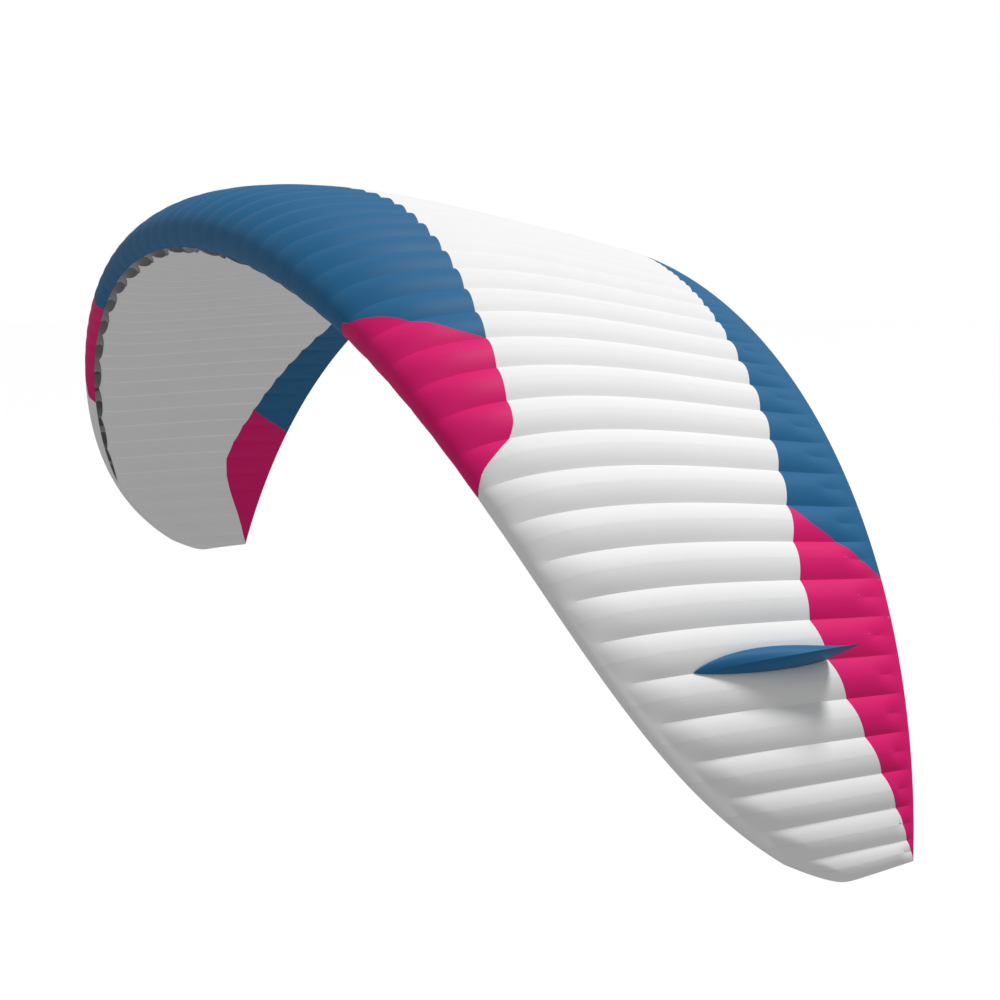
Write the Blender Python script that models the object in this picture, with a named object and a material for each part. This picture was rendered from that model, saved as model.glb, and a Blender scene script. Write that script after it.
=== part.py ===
"""Paraglider wing: an arched, inflated cloth wing of 57 cells.

The span runs along X, the leading edge faces -Y and +Z is up. The wing is
described by seams, numbered from the middle: seam 0.5 is the first on each
side, seam 28.5 is the tip. A point on a seam is given by its chord share:
0 at the nose, 1 at the trailing edge, positive over the upper sail and
negative along the lower sail.
"""

import math

import bmesh
import bpy

# ---------------------------------------------------------------- sizes (m)
FLAT_SPAN = 11.0  # tip to tip along the cloth
ROOT_CHORD = 2.54  # nose to trailing edge in the middle
TIP_SEAM = 28.5  # 57 cells, half of them on each side
TIP_SLANT = 0.30  # share of the last cell that the tip is cut short at its tail
TIP_ROUNDING = 0.95  # the same at its nose, which is rounded off
ROUNDED_SHARE = 0.40  # chord share that the rounding takes
ROUNDING_POWER = 5  # how soon it dies out behind the nose
HANG_SHARE = 0.30  # the origin lies under the middle cell at this chord share
CLOTH = 0.002  # thickness of every sheet
GAP = 0.001  # between the edges of neighbouring panels
SKIN_GAP = 0.0005  # from the section line to the inside of a sheet
POINT_WIDTH = 0.004  # a panel's pointed end is cut off at this width

# The arch: how far a seam leans outward, in degrees, as a sum of powers of
# its share of the half span.
ARCH_LEAN = (
    # power, degrees
    (1, 51.4),
    (3, 53.4),
    (5, -28.1),
)
# Cells stay even over the middle and get narrower near the tips.
CELL_WIDTH = (
    # power, share of the middle cell
    (4, -0.41),
)
# How far the nose line lies behind the nose of the middle seam.
NOSE_SWEEP = (
    # power, metres
    (2, 0.68),
    (4, 0.19),
    (8, 0.57),
)
# How far the trailing edge lies in front of the middle one.
TAIL_SWEEP = (
    # power, metres
    (2, 0.96),
    (4, -0.31),
)
# The section: thickness and camber as shares of the chord.
THICKNESS = 0.155
THINNER_OUTWARD = (
    # power, share of the thickness lost at the tip
    (2, 0.93),
    (6, 0.05),
)
NOSE_ROUNDNESS = 0.432
TAIL_SHARPNESS = 1.46
CAMBER = 0.027
CAMBER_FORWARD = 0.51
UPPER_BILLOW = 0.125  # height of a blown-up cell, as a share of its width
LOWER_BILLOW = 0.07
FLAT_TAIL = 0.16  # chord share at the tail over which the billow dies out
# Behind the nose the cloth stays tight: the billow begins at this chord share.
BILLOW_START = (
    # power, chord share
    (0, -0.01),
    (6, 0.15),
)
BILLOW_ONSET = 0.13  # chord share over which it then grows

# ------------------------------------------------- panel outlines (by seam)
# Rear edge of the coloured band on the nose, which wraps round to the lip.
NOSE_BAND_REAR = (
    # seam, chord share
    (0.0, 0.365),
    (4.5, 0.351),
    (8.5, 0.303),
    (12.5, 0.227),
    (15.5, 0.153),
    (16.17, 0.132),
    (16.5, 0.108),
    (16.83, 0.064),
    (17.17, 0.017),
    (17.5, -0.001),
    (18.17, -0.005),
    (18.5, -0.030),
)
# Border between blue and magenta on the nose.
NOSE_BAND_BORDER = (
    (11.33, 0.0005),
    (11.5, 0.002),
    (11.83, 0.021),
    (12.17, 0.051),
    (12.5, 0.085),
    (12.83, 0.113),
    (13.17, 0.143),
    (13.5, 0.204),
)
# Under the nose that border runs straight down to the lip, just inboard of
# the load rib: blue reaches the lip up to the first of these seams.
BORDER_DROP = (11.31, 11.33)
# Front edge of the coloured band on the upper sail's tail.
UPPER_TAIL_FRONT = (
    (5.5, 1.0),
    (7.5, 0.966),
    (9.5, 0.936),
    (12.5, 0.885),
    (15.5, 0.830),
    (18.5, 0.761),
    (20.5, 0.708),
    (21.5, 0.694),
    (22.5, 0.715),
    (23.5, 0.746),
    (25.5, 0.831),
    (27.5, 0.936),
    (28.5, 1.0),
)
UPPER_TAIL_BORDER = (
    (18.5, 0.761),
    (19.0, 0.799),
    (19.5, 0.878),
    (20.5, 1.0),
)
# The same on the lower sail.
LOWER_TAIL_FRONT = (
    (5.5, 1.0),
    (9.5, 0.940),
    (13.5, 0.872),
    (17.5, 0.805),
    (19.5, 0.768),
    (21.5, 0.720),
    (22.5, 0.702),
    (23.5, 0.719),
    (24.5, 0.757),
    (26.5, 0.870),
    (28.5, 1.0),
)
LOWER_TAIL_BORDER = (
    (19.5, 0.768),
    (20.5, 0.918),
    (21.0, 1.0),
)
# Distance of the intake's edges behind the nose, measured along the chord.
LIP_SETBACK = (
    # seam, metres
    (0.0, 0.041),
    (6.5, 0.049),
    (12.5, 0.059),
    (18.5, 0.057),
    (21.5, 0.046),
    (23.5, 0.028),
    (28.5, 0.010),
)
CUSP_SETBACK = (
    (1.5, 0.062),
    (5.5, 0.080),
    (11.5, 0.092),
    (17.5, 0.090),
    (21.5, 0.065),
    (23.5, 0.031),
)
# How far a crescent reaches behind its cusps.
INTAKE_DEPTH = (
    (1.5, 0.036),
    (5.5, 0.044),
    (8.5, 0.030),
    (10.5, 0.025),
    (16.5, 0.020),
    (20.5, 0.018),
    (23.5, 0.008),
)
INTAKE_SQUARENESS = 2.4  # power of the crescent's curve
UPPER_SPLIT = 16.5  # the white upper sail is cut at this seam

# --------------------------------------------------------------- structure
FIRST_LOAD_SEAM = 1.5
LAST_LOAD_SEAM = 23.5
CELLS_PER_INTAKE = 2
RIB_END = 0.93  # ribs stop short of the trailing edge
RIB_INSET = 0.0035  # from the section line to the rib's edge
FIN_SEAM = 22.5
FIN_FRONT, FIN_REAR = 0.232, 0.712  # chord shares of the fin's root
FIN_HEIGHT = 0.222  # at its rear; its crest rises evenly from the front
FIN_SWEEP = 0.02  # how far its tip overhangs the rear of its root
FIN_LEAN = 2.0  # degrees outboard of the skin's normal
FIN_INBOARD, FIN_OUTBOARD = 0.062, 0.029  # how far its sides bulge from its seam
FIN_SWELL = (0.84, 0.89)  # powers of the bulge towards its front and its rear
FIN_FULLNESS = 2.8  # power of a side's curve from foot to crest
FIN_CLEARANCE = 0.003

# ------------------------------------------------------------- mesh density
ARC_STEPS = 400
UPPER_STEPS = 3  # strips over one cell of the upper sail
LOWER_STEPS = 2
NOSE_ROWS, MIDDLE_ROWS, TIP_ROWS, TAIL_ROWS = 6, 4, 7, 2
LOWER_ROWS = 4
FIN_STATIONS, FIN_LAYERS = 9, 4
SHARP_ANGLE = 35.0  # degrees between faces that are shaded apart

MATERIALS = {
    # name: colour, roughness, metallic
    "blue_cloth": ((0.045, 0.165, 0.335, 1.0), 0.55, 0.0),
    "magenta_cloth": ((0.62, 0.02, 0.16, 1.0), 0.55, 0.0),
    "white_cloth": ((0.86, 0.86, 0.86, 1.0), 0.6, 0.0),
    "rib_cloth": ((0.50, 0.49, 0.51, 1.0), 0.7, 0.0),
}


# ------------------------------------------------------------ small helpers
def power_sum(rows, share):
    return sum(size * share**power for power, size in rows)


def smooth(rows, place):
    """A curve through the rows that never overshoots between them."""
    if place <= rows[0][0]:
        return rows[0][1]
    if place >= rows[-1][0]:
        return rows[-1][1]
    slopes = [(b[1] - a[1]) / (b[0] - a[0]) for a, b in zip(rows, rows[1:])]

    def tangent(i):
        if i == 0 or i == len(rows) - 1:
            return slopes[max(0, i - 1)]
        before, after = slopes[i - 1], slopes[i]
        if before * after <= 0:
            return 0.0
        return 2 * before * after / (before + after)

    i = max(k for k, row in enumerate(rows) if row[0] <= place)
    (x0, y0), (x1, y1) = rows[i], rows[i + 1]
    h = x1 - x0
    t = (place - x0) / h
    return (
        y0 * (1 + 2 * t) * (1 - t) ** 2
        + y1 * t * t * (3 - 2 * t)
        + tangent(i) * h * t * (1 - t) ** 2
        - tangent(i + 1) * h * t * t * (1 - t)
    )


def integrate_arch():
    """Rows of (share, cloth length, x, z, lean) along the half span."""
    step = 1.0 / ARC_STEPS
    widths = [1 + power_sum(CELL_WIDTH, i * step) for i in range(ARC_STEPS + 1)]
    total = sum((a + b) / 2 * step for a, b in zip(widths, widths[1:]))
    scale = FLAT_SPAN / 2 / total
    rows, x, z, length = [], 0.0, 0.0, 0.0
    for i in range(ARC_STEPS + 1):
        lean = math.radians(power_sum(ARCH_LEAN, i * step))
        if i:
            middle = math.radians(power_sum(ARCH_LEAN, (i - 0.5) * step))
            piece = (widths[i] + widths[i - 1]) / 2 * step * scale
            x += piece * math.cos(middle)
            z -= piece * math.sin(middle)
            length += piece
        rows.append((i * step, length, x, z, lean))
    return rows


ARCH = integrate_arch()


def arch_at(seam):
    """Cloth length from the middle, x, z and lean of a seam."""
    place = min(abs(seam) / TIP_SEAM, 1.0) * ARC_STEPS
    i = min(int(place), ARC_STEPS - 1)
    t = place - i
    length, x, z, lean = (a + (b - a) * t for a, b in zip(ARCH[i][1:], ARCH[i + 1][1:]))
    side = math.copysign(1.0, seam)
    return length, side * x, z, side * lean


def chord_at(seam):
    """Nose and tail positions along Y."""
    share = abs(seam) / TIP_SEAM
    return power_sum(NOSE_SWEEP, share), ROOT_CHORD - power_sum(TAIL_SWEEP, share)


def chord_length(seam):
    nose, tail = chord_at(seam)
    return tail - nose


def section_height(share, thickness):
    """Height of the upper (share > 0) or lower (share < 0) side over the chord."""
    u = min(abs(share), 1.0)
    peak = NOSE_ROUNDNESS / (NOSE_ROUNDNESS + TAIL_SHARPNESS)
    most = peak**NOSE_ROUNDNESS * (1 - peak) ** TAIL_SHARPNESS
    half = thickness / 2 * u**NOSE_ROUNDNESS * (1 - u) ** TAIL_SHARPNESS / most
    camber = CAMBER * 4 * u * (1 - u) * (1 + CAMBER_FORWARD * (1 - 2 * u))
    return camber + math.copysign(half, share)


def section_point(seam, share):
    """(along the chord, across it) in metres, before the billow."""
    part = abs(seam) / TIP_SEAM
    thickness = THICKNESS * (1 - power_sum(THINNER_OUTWARD, part))
    chord = chord_length(seam)
    return abs(share) * chord, section_height(share, thickness) * chord


def section_normal(seam, share):
    """Outward direction in the section's plane."""
    root = math.copysign(math.sqrt(abs(share)), share)
    lo, hi = max(root - 0.01, -1.0), min(root + 0.01, 1.0)
    a = section_point(seam, math.copysign(lo * lo, lo))
    b = section_point(seam, math.copysign(hi * hi, hi))
    dy, dz = b[0] - a[0], b[1] - a[1]
    size = math.hypot(dy, dz)
    return -dz / size, dy / size


def cell_width(seam):
    """Width of the cell that a place lies in."""
    cell = math.floor(abs(seam) + 0.5)
    if cell == 0:
        return 2 * arch_at(0.5)[0]
    return arch_at(cell + 0.5)[0] - arch_at(cell - 0.5)[0]


def billow_at(seam, share):
    """How far the cloth stands out between two seams."""
    across = (abs(seam) + 0.5) % 1.0
    arc = 4 * across * (1 - across)
    tail = math.sin(min(1.0, (1 - abs(share)) / FLAT_TAIL) * math.pi / 2)
    grown = (abs(share) - power_sum(BILLOW_START, abs(seam) / TIP_SEAM)) / BILLOW_ONSET
    nose = math.sin(min(1.0, max(0.0, grown)) * math.pi / 2)
    size = UPPER_BILLOW if share > 0 else LOWER_BILLOW
    return size * cell_width(seam) * arc * tail * nose


def sail_point(seam, share, offset):
    """A point of the sail, offset outward from the section line, with the
    nose of the middle seam at zero."""
    push = offset + billow_at(seam, share)
    into_last_cell = max(0.0, abs(seam) - (TIP_SEAM - 1))
    rounding = TIP_ROUNDING * max(0.0, 1 - abs(share) / ROUNDED_SHARE) ** ROUNDING_POWER
    seam -= math.copysign(into_last_cell * (TIP_SLANT * abs(share) + rounding), seam)
    _, x, z, lean = arch_at(seam)
    nose, _ = chord_at(seam)
    along, across = section_point(seam, share)
    out_along, out_across = section_normal(seam, share)
    across += push * out_across
    y = nose + along + push * out_along
    return x + across * math.sin(lean), y, z + across * math.cos(lean)


ORIGIN = sail_point(0.0, -HANG_SHARE, SKIN_GAP + CLOTH)


def wing_point(seam, share, offset):
    """The same point from the part's origin."""
    return tuple(p - o for p, o in zip(sail_point(seam, share, offset), ORIGIN))


# ----------------------------------------------------------- panel outlines
def lip(seam):
    return -smooth(LIP_SETBACK, abs(seam)) / chord_length(seam)


def intake_edge(seam):
    """Front edge of the lower sail: crescents between the load ribs."""
    place = abs(seam)
    if place >= LAST_LOAD_SEAM:
        return lip(seam) - GAP / chord_length(seam)
    half = CELLS_PER_INTAKE / 2
    if place <= FIRST_LOAD_SEAM:
        across = place / FIRST_LOAD_SEAM
    else:
        across = abs((place - FIRST_LOAD_SEAM) % CELLS_PER_INTAKE - half) / half
    depth = smooth(INTAKE_DEPTH, place) * (1 - across**INTAKE_SQUARENESS)
    return -(smooth(CUSP_SETBACK, place) + depth) / chord_length(seam)


def room(seam):
    """The least chord share that a panel's pointed end needs."""
    return (POINT_WIDTH + GAP) / chord_length(seam)


def border(rows, seam, front, rear):
    """A border between two colours, kept clear of the panel's other edges."""
    return min(max(smooth(rows, abs(seam)), front + room(seam)), rear - room(seam))


def tail_front(rows, seam):
    """Front edge of a tail band, or the trailing edge itself inboard of it."""
    if abs(seam) < rows[0][0]:
        return 1.0
    return min(smooth(rows, abs(seam)), 1.0 - room(seam))


def nose_rear(seam):
    return max(smooth(NOSE_BAND_REAR, abs(seam)), lip(seam) + room(seam))


def nose_border(seam):
    return border(NOSE_BAND_BORDER, seam, lip(seam), nose_rear(seam))


def upper_tail(seam):
    return tail_front(UPPER_TAIL_FRONT, seam)


def upper_border(seam):
    return border(UPPER_TAIL_BORDER, seam, upper_tail(seam), 1.0)


def lower_tail(seam):
    return tail_front(LOWER_TAIL_FRONT, seam)


def lower_border(seam):
    return border(LOWER_TAIL_BORDER, seam, lower_tail(seam), 1.0)


# Each outline gives a panel's front and rear chord share at a seam.
def blue_nose(seam):
    return lip(seam) if abs(seam) <= BORDER_DROP[0] else nose_border(seam), nose_rear(seam)


def magenta_nose(seam):
    beside_blue = abs(seam) <= NOSE_BAND_BORDER[-1][0]
    return lip(seam), nose_border(seam) if beside_blue else nose_rear(seam)


def white_top(seam):
    behind_band = abs(seam) <= NOSE_BAND_REAR[-1][0]
    return nose_rear(seam) if behind_band else lip(seam), upper_tail(seam)


def blue_upper_tail(seam):
    beside_magenta = abs(seam) >= UPPER_TAIL_BORDER[0][0]
    return upper_border(seam) if beside_magenta else upper_tail(seam), 1.0


def magenta_upper_tail(seam):
    beside_blue = abs(seam) <= UPPER_TAIL_BORDER[-1][0]
    return upper_tail(seam), upper_border(seam) if beside_blue else 1.0


def white_low(seam):
    return intake_edge(seam), -lower_tail(seam)


def blue_lower_tail(seam):
    beside_magenta = abs(seam) >= LOWER_TAIL_BORDER[0][0]
    return -lower_border(seam) if beside_magenta else -lower_tail(seam), -1.0


def magenta_lower_tail(seam):
    beside_blue = abs(seam) <= LOWER_TAIL_BORDER[-1][0]
    return -lower_tail(seam), -lower_border(seam) if beside_blue else -1.0


# ------------------------------------------------------------------ meshing
def spread(front, rear, count):
    """Chord shares from front to rear, closer together round the nose."""
    a = math.copysign(math.sqrt(abs(front)), front)
    b = math.copysign(math.sqrt(abs(rear)), rear)
    roots = [a + (b - a) * k / count for k in range(count + 1)]
    return [math.copysign(r * r, r) for r in roots]


def panel_rows(outline, seam, count):
    """Chord shares of one station, with the panel's edges drawn in by GAP."""
    front, rear = outline(seam)
    chord = chord_length(seam)
    way = 1.0 if rear >= front else -1.0
    trim = GAP / 2 / chord
    if abs(front) < 1.0:
        front += way * trim
    if abs(rear) < 1.0:
        rear -= way * trim
    least = POINT_WIDTH / chord
    if (rear - front) * way < least:
        if abs(rear) >= 1.0:
            front = rear - way * least
        else:
            rear = front + way * least
    return spread(front, rear, count)


def stations(first, last, steps):
    count = round((last - first) * steps)
    return [first + k / steps for k in range(count + 1)]


def mesh_object(name, points, faces, material):
    mesh = bpy.data.meshes.new(name)
    mesh.from_pydata(points, [], faces)
    body = bmesh.new()
    body.from_mesh(mesh)
    if body.calc_volume(signed=True) < 0:
        bmesh.ops.reverse_faces(body, faces=body.faces)
    body.to_mesh(mesh)
    body.free()
    mesh.materials.append(material)
    mesh.shade_smooth()
    mesh.set_sharp_from_angle(angle=math.radians(SHARP_ANGLE))
    piece = bpy.data.objects.new(name, mesh)
    bpy.context.scene.collection.objects.link(piece)
    return piece


def sheet(name, outline, seams, count, material):
    """A closed sheet of cloth between the outline's front and rear edges."""
    outer, inner = [], []
    inward = {seams[0]: GAP / 2, seams[-1]: -GAP / 2}
    for seam in seams:
        place = seam + inward.get(seam, 0.0) / cell_width(abs(seam) - 0.25)
        shares = panel_rows(outline, seam, count)
        outer.append([wing_point(place, u, SKIN_GAP + CLOTH) for u in shares])
        inner.append([wing_point(place, u, SKIN_GAP) for u in shares])
    across, along = len(seams), count + 1
    points = [p for row in outer for p in row] + [p for row in inner for p in row]
    under = across * along
    faces = []

    def wall(a, b):
        faces.append((a, b, under + b))
        faces.append((a, under + b, under + a))

    for i in range(across - 1):
        for k in range(count):
            a, b = i * along + k, (i + 1) * along + k
            faces += [(a, b, b + 1), (a, b + 1, a + 1)]
            a, b = under + a, under + b
            faces += [(a, b + 1, b), (a, a + 1, b + 1)]
        wall((i + 1) * along, i * along)
        wall(i * along + count, (i + 1) * along + count)
    last = (across - 1) * along
    for k in range(count):
        wall(k, k + 1)
        wall(last + k + 1, last + k)
    return mesh_object(name, points, faces, material)


def both_sides(name, outline, seams, count, material):
    """One panel on each half of the wing; +X is the wing's left."""
    sheet(f"{name}_left", outline, seams, count, material)
    sheet(f"{name}_right", outline, [-seam for seam in reversed(seams)], count, material)


def upper_patch_rows(seam):
    """Every chord share at which the upper sail has a row of points."""
    shares = []
    if BORDER_DROP[1] <= seam < NOSE_BAND_REAR[-1][0]:
        shares += panel_rows(magenta_nose, seam, NOSE_ROWS)
    if seam <= NOSE_BAND_BORDER[-1][0]:
        shares += panel_rows(blue_nose, seam, NOSE_ROWS)
    count = MIDDLE_ROWS if seam < UPPER_SPLIT else TIP_ROWS
    return shares + panel_rows(white_top, seam, count)


def rib(name, seam, material):
    """A load rib: a plate of cloth that fills the section of its seam."""
    place = abs(seam)
    shares = upper_patch_rows(place)[::-1] + panel_rows(white_low, place, LOWER_ROWS)
    shares = [u for u in shares if abs(u) < RIB_END]
    _, x, z, lean = arch_at(seam)
    outline = [wing_point(seam, u, -RIB_INSET) for u in shares]
    half = CLOTH / 2
    side = (half * math.cos(lean), 0.0, -half * math.sin(lean))
    count = len(outline)
    points = [tuple(p + s for p, s in zip(point, side)) for point in outline]
    points += [tuple(p - s for p, s in zip(point, side)) for point in outline]
    faces = [tuple(range(count)), tuple(range(2 * count - 1, count - 1, -1))]
    faces += [((k + 1) % count, k, count + k, count + (k + 1) % count) for k in range(count)]
    return mesh_object(name, points, faces, material)


def fin(name, side, material):
    """A small blown-up fin that stands on a seam of the upper sail."""
    lean = arch_at(side * FIN_SEAM)[3] + math.radians(side * FIN_LEAN)
    cell = cell_width(FIN_SEAM + 0.25)
    widest = FIN_SWELL[0] / sum(FIN_SWELL)

    def fin_point(t, layer, way):
        """t runs along the root, layer from the skin to the crest."""
        height = FIN_HEIGHT * t * layer
        swell = (t / widest) ** FIN_SWELL[0] * ((1 - t) / (1 - widest)) ** FIN_SWELL[1]
        bulge = FIN_OUTBOARD if way > 0 else FIN_INBOARD
        half = bulge * swell * (1 - layer**FIN_FULLNESS)
        share = FIN_FRONT + (FIN_REAR - FIN_FRONT) * t
        foot = wing_point(side * (FIN_SEAM + way * half / cell), share, FIN_CLEARANCE + CLOTH)
        back = FIN_SWEEP * height / FIN_HEIGHT
        return foot[0] + height * math.sin(lean), foot[1] + back, foot[2] + height * math.cos(lean)

    body = bmesh.new()
    along = [k / FIN_STATIONS for k in range(FIN_STATIONS + 1)]
    keel = [body.verts.new(fin_point(t, 0.0, 0)) for t in along]
    edge = [keel[0]] + [body.verts.new(fin_point(t, 1.0, 0)) for t in along[1:]]
    rear = [keel[-1]] + [body.verts.new(fin_point(1.0, k / FIN_LAYERS, 0)) for k in range(1, FIN_LAYERS)]
    for way in (1, -1):
        rows = []
        for k in range(FIN_LAYERS):
            inner = [body.verts.new(fin_point(t, k / FIN_LAYERS, way)) for t in along[1:-1]]
            rows.append([keel[0]] + inner + [rear[k]])
        for low, high in zip([keel] + rows, rows + [edge]):
            for a, b, c, d in zip(low, low[1:], high[1:], high):
                corners = [v for i, v in enumerate((a, b, c, d)) if v not in (a, b, c, d)[:i]]
                if len(corners) > 2:
                    body.faces.new(corners[::way])
    bmesh.ops.triangulate(body, faces=body.faces)
    mesh = bpy.data.meshes.new(name)
    body.to_mesh(mesh)
    body.free()
    points = [tuple(v.co) for v in mesh.vertices]
    return mesh_object(name, points, [tuple(f.vertices) for f in mesh.polygons], material)


def cloth_material(name, colour, roughness, metallic):
    material = bpy.data.materials.new(name)
    material.use_nodes = True
    shader = material.node_tree.nodes["Principled BSDF"]
    shader.inputs["Base Color"].default_value = colour
    shader.inputs["Roughness"].default_value = roughness
    shader.inputs["Metallic"].default_value = metallic
    material.diffuse_color = colour
    return material


def build():
    for piece in list(bpy.data.objects):
        bpy.data.objects.remove(piece)
    cloth = {name: cloth_material(name, *look) for name, look in MATERIALS.items()}
    blue, magenta, white = cloth["blue_cloth"], cloth["magenta_cloth"], cloth["white_cloth"]

    blue_end = NOSE_BAND_BORDER[-1][0]
    drops = [side * seam for seam in BORDER_DROP for side in (-1, 1)]
    seams = sorted(stations(-blue_end, blue_end, UPPER_STEPS) + drops)
    sheet("nose_blue", blue_nose, seams, NOSE_ROWS, blue)
    seams = stations(NOSE_BAND_BORDER[1][0], NOSE_BAND_REAR[-1][0], UPPER_STEPS)
    both_sides("nose_magenta", magenta_nose, [BORDER_DROP[1]] + seams, NOSE_ROWS, magenta)

    seams = stations(-UPPER_SPLIT, UPPER_SPLIT, UPPER_STEPS)
    sheet("top_white_middle", white_top, seams, MIDDLE_ROWS, white)
    seams = stations(UPPER_SPLIT, TIP_SEAM, UPPER_STEPS)
    both_sides("top_white", white_top, seams, TIP_ROWS, white)

    seams = stations(UPPER_TAIL_FRONT[0][0], UPPER_TAIL_BORDER[-1][0], UPPER_STEPS)
    both_sides("top_tail_blue", blue_upper_tail, seams, TAIL_ROWS, blue)
    seams = stations(UPPER_TAIL_BORDER[0][0], TIP_SEAM, UPPER_STEPS)
    both_sides("top_tail_magenta", magenta_upper_tail, seams, TAIL_ROWS, magenta)

    seams = stations(-TIP_SEAM, TIP_SEAM, LOWER_STEPS)
    sheet("low_white", white_low, seams, LOWER_ROWS, white)
    seams = stations(LOWER_TAIL_FRONT[0][0], LOWER_TAIL_BORDER[-1][0], LOWER_STEPS)
    both_sides("low_tail_blue", blue_lower_tail, seams, TAIL_ROWS, blue)
    seams = stations(LOWER_TAIL_BORDER[0][0], TIP_SEAM, LOWER_STEPS)
    both_sides("low_tail_magenta", magenta_lower_tail, seams, TAIL_ROWS, magenta)

    for k in range(round((LAST_LOAD_SEAM - FIRST_LOAD_SEAM) / CELLS_PER_INTAKE) + 1):
        seam = FIRST_LOAD_SEAM + CELLS_PER_INTAKE * k
        rib(f"rib_left_{k + 1:02d}", seam, cloth["rib_cloth"])
        rib(f"rib_right_{k + 1:02d}", -seam, cloth["rib_cloth"])

    fin("fin_left", 1, blue)
    fin("fin_right", -1, blue)


build()
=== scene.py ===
# %% [markdown]
# # A paraglider wing
# This lesson dresses a blown-up cloth wing. The frame holds its solids at their real
# size. Each cloth panel is made again here as a thin, fine sheet on the same curve,
# with its seams, its cells and its weave.

# %% Load the frame
import math

import bmesh
import bpy
import numpy as np
from mathutils import Matrix


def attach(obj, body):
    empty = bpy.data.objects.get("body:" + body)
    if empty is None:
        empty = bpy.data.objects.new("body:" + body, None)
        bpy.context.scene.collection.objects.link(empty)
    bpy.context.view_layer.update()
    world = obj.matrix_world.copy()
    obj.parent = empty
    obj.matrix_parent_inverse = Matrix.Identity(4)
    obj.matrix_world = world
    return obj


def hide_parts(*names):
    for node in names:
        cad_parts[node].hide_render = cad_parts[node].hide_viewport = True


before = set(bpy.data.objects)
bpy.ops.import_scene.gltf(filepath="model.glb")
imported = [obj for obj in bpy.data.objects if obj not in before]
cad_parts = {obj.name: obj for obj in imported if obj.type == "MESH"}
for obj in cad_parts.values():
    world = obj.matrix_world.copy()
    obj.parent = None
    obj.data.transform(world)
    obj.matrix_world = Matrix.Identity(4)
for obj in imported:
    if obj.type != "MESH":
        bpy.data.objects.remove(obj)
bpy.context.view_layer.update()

# %% [markdown]
# ## The sizes that drive the wing
# A real wing is drawn as a row of seams. Seam 0.5 is the first on each side of the
# middle and seam 28.5 is the tip. A few power sums say how the seams lean, how wide
# the cells are and how the nose and the trailing edge sweep. They are the same
# driving sizes that the solids have, so sheets and solids share one surface. They
# could be read off the solids, but named sizes can be changed and understood.

# %% Sizes of the whole wing, in metres
FLAT_SPAN = 11.0
ROOT_CHORD = 2.54
TIP_SEAM = 28.5
TIP_SLANT = 0.30  # share of the last cell that the tip is cut short at its tail
TIP_ROUNDING = 0.95  # the same at its nose, which is rounded off
ROUNDED_SHARE = 0.40  # chord share that the rounding takes
ROUNDING_POWER = 5  # how soon it dies out behind the nose
HANG_SHARE = 0.30  # the origin lies under the middle cell at this chord share
ARCH_LEAN = ((1, 51.4), (3, 53.4), (5, -28.1))  # power, degrees
CELL_WIDTH = ((4, -0.41),)  # power, share of the middle cell
NOSE_SWEEP = ((2, 0.68), (4, 0.19), (8, 0.57))  # power, metres
TAIL_SWEEP = ((2, 0.96), (4, -0.31))
ARC_STEPS = 400
print("flat span", FLAT_SPAN, "m, middle chord", ROOT_CHORD, "m")

# %% [markdown]
# The section is the outline of one rib. A real one comes from a wing-section table;
# here a power curve gives the thickness and a bent line the camber, which needs only
# four numbers and comes out smooth however finely it is sampled.

# %% Sizes of the section
THICKNESS = 0.155  # share of the chord
THINNER_OUTWARD = ((2, 0.93), (6, 0.05))  # power, share lost at the tip
NOSE_ROUNDNESS = 0.432
TAIL_SHARPNESS = 1.46
CAMBER = 0.027
CAMBER_FORWARD = 0.51
print("middle section", round(THICKNESS * ROOT_CHORD, 3), "m thick")

# %% [markdown]
# Air pressure blows each cell up between its ribs. The cloth is pulled flat at the
# trailing edge, where both sails are sewn together, and stays tight at the nose. A
# pressure simulation would find the same round shape, but slowly, and its creases
# would no longer follow the seams exactly.

# %% Sizes of the blown-up cells
UPPER_BILLOW = 0.125  # height of a cell, as a share of its width
LOWER_BILLOW = 0.07
FLAT_TAIL = 0.16  # chord share at the tail over which the billow dies out
BILLOW_START = ((0, -0.01), (6, 0.15))  # power, chord share where the billow begins
BILLOW_ONSET = 0.13  # chord share over which it then grows
HALF_RIB_START, HALF_RIB_FULL = 0.87, 0.93  # chord shares where short tail ribs begin
WHOLE_ARC_LEFT = 0.35  # share of a cell's own arc that is left over the short ribs
FACE = 0.0025  # from the section line to the outside of the cloth
CLOTH = 0.001  # thickness that a sheet is given here
TAIL_FACE = 0.0008  # the faces close up to this at the trailing edge
print("a cell stands", UPPER_BILLOW, "of its width above its seams")

# %% [markdown]
# ## From seams to points
# One function turns (seam, chord share) into a point in space. It could be done with
# a lattice or a curve deform, but a formula keeps every panel on exactly the same
# surface, so that edges meet along the whole seam. Numpy does whole grids at once.

# %% The arch
def power_sum(rows, share):
    return sum(size * share**power for power, size in rows)


def integrate_arch():
    """Columns of share, cloth length, x, z and lean along the half span."""
    share = np.linspace(0, 1, ARC_STEPS + 1)
    width = 1 + power_sum(CELL_WIDTH, share)
    pieces = (width[1:] + width[:-1]) / 2
    pieces *= FLAT_SPAN / 2 / pieces.sum()
    middle = np.radians(power_sum(ARCH_LEAN, (share[1:] + share[:-1]) / 2))
    length, x, z = (
        np.concatenate([[0.0], np.cumsum(step)])
        for step in (pieces, pieces * np.cos(middle), -pieces * np.sin(middle))
    )
    return share, length, x, z, np.radians(power_sum(ARCH_LEAN, share))


ARCH = integrate_arch()


def arch_at(seam):
    """Cloth length from the middle, x, z and lean of a seam."""
    share = np.abs(seam) / TIP_SEAM
    length, x, z, lean = (np.interp(share, ARCH[0], column) for column in ARCH[1:])
    side = np.where(np.asarray(seam) < 0, -1.0, 1.0)
    return length, side * x, z, side * lean


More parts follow.
